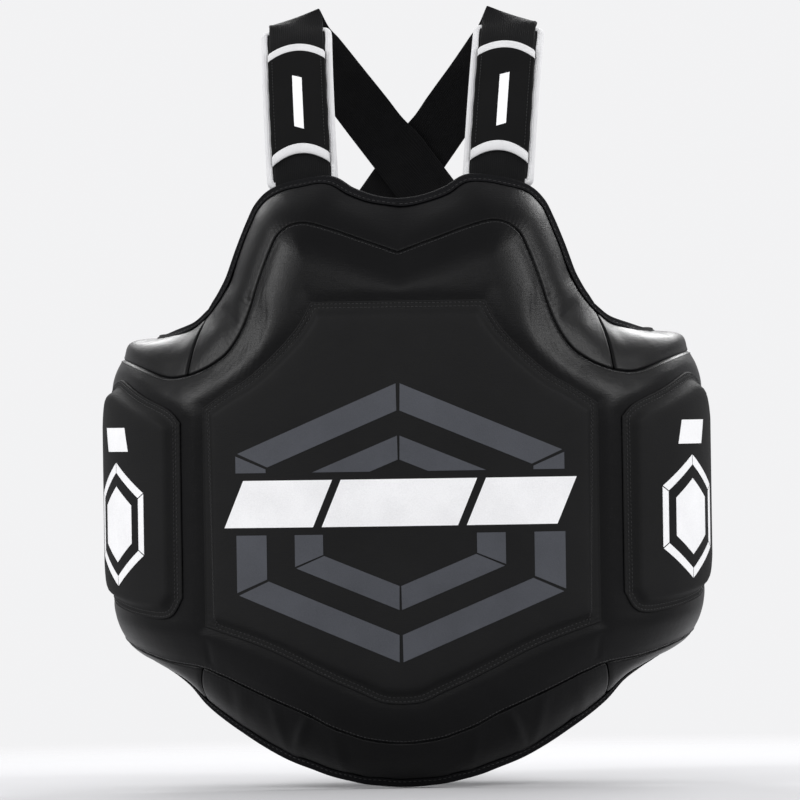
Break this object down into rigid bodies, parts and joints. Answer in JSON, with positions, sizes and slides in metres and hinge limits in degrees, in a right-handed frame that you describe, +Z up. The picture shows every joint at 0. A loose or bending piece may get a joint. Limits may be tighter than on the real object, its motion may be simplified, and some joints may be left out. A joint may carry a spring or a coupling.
{
  "type": "chest protector",
  "caption": "Foam body protector for boxing coaching: boxed shell round chest and flanks with raised gel panels, crossed padded shoulder straps and a waist belt.",
  "frame": {"origin": "on the wearer's upright axis, level with the lowest edge of the shell", "axes": "+Z up, -Y to the front that the wearer faces, +X to the right as seen from the front (the wearer's left); left and right in names are as seen from the front"},
  "size_m": [0.5636, 0.3728, 0.7219],
  "materials": {
    "gloss_leather": "satin",
    "matte_leather": "matte",
    "lining_fabric": "matte",
    "impact_foam": "matte",
    "shock_gel": "satin",
    "black_tape": "satin",
    "hook_and_loop": "matte",
    "black_webbing": "matte",
    "elastic_webbing": "matte",
    "white_tape": "matte",
    "wire_steel": "satin"
  },
  "bodies": {
    "vest": {"front_face_cover": "gloss_leather", "chest_wall_cover": "gloss_leather", "belly_wall_cover": "gloss_leather", "wing_top_wall_left": "gloss_leather", "wing_top_wall_right": "gloss_leather", "wing_bottom_wall_left": "gloss_leather", "wing_bottom_wall_right": "gloss_leather", "wing_end_wall_left": "gloss_leather", "wing_end_wall_right": "gloss_leather", "centre_gel_cover": "matte_leather", "side_gel_cover_left": "matte_leather", "side_gel_cover_right": "matte_leather", "back_lining": "lining_fabric", "impact_foam_front": "impact_foam", "impact_foam_rear": "impact_foam", "centre_gel_pad": "shock_gel", "side_gel_pad_left": "shock_gel", "side_gel_pad_right": "shock_gel", "edge_binding": "black_tape", "strap_loop_left": "hook_and_loop", "strap_loop_right": "hook_and_loop", "shoulder_webbing_left": "black_webbing", "shoulder_webbing_right": "black_webbing", "ring_tab_left": "black_webbing", "ring_tab_right": "black_webbing", "strap_ring_left": "wire_steel", "strap_ring_right": "wire_steel"},
    "pad_left": {"shoulder_pad_left": "lining_fabric", "shoulder_pad_binding_left": "white_tape", "shoulder_sleeve_left": "matte_leather", "sleeve_binding_upper_left": "white_tape", "sleeve_binding_lower_left": "white_tape"},
    "pad_right": {"shoulder_pad_right": "lining_fabric", "shoulder_pad_binding_right": "white_tape", "shoulder_sleeve_right": "matte_leather", "sleeve_binding_upper_right": "white_tape", "sleeve_binding_lower_right": "white_tape"},
    "tail_left": {"strap_tail_left": "black_webbing", "tail_hook_left": "hook_and_loop"},
    "tail_right": {"strap_tail_right": "black_webbing", "tail_hook_right": "hook_and_loop"},
    "belt_left": {"waist_belt_left": "elastic_webbing", "belt_hook_patch": "hook_and_loop"},
    "belt_right": {"waist_belt_right": "elastic_webbing", "belt_loop_patch": "hook_and_loop"}
  },
  "joints": [
    {"name": "shoulder_pad_slide_left", "type": "hinge", "parent": "vest", "child": "pad_left", "pos_m": [-0.08507, 0.18203, 0.4746], "axis": [0.998, 0, 0.0628], "range_deg": [-1.2, 1.2]},
    {"name": "shoulder_pad_slide_right", "type": "hinge", "parent": "vest", "child": "pad_right", "pos_m": [0.08507, 0.18203, 0.4746], "axis": [0.998, 0, -0.0628], "range_deg": [-1.2, 1.2]},
    {"name": "strap_tail_peel_left", "type": "hinge", "parent": "vest", "child": "tail_left", "pos_m": [0.17034, 0.11572, 0.3439], "axis": [-0.6086, 0.5251, -0.5948], "range_deg": [0, 120]},
    {"name": "strap_tail_peel_right", "type": "hinge", "parent": "vest", "child": "tail_right", "pos_m": [-0.17034, 0.11572, 0.3439], "axis": [-0.6086, -0.5251, 0.5948], "range_deg": [0, 120]},
    {"name": "waist_belt_open_left", "type": "hinge", "parent": "vest", "child": "belt_left", "pos_m": [-0.19917, 0.06765, 0.192], "axis": [0, 0, 1], "range_deg": [0, 95]},
    {"name": "waist_belt_open_right", "type": "hinge", "parent": "vest", "child": "belt_right", "pos_m": [0.19917, 0.06765, 0.192], "axis": [0, 0, -1], "range_deg": [0, 48]}
  ],
  "couplings": [
    {"joint": "waist_belt_open_right", "follows": "waist_belt_open_left", "ratio": 0.5}
  ]
}
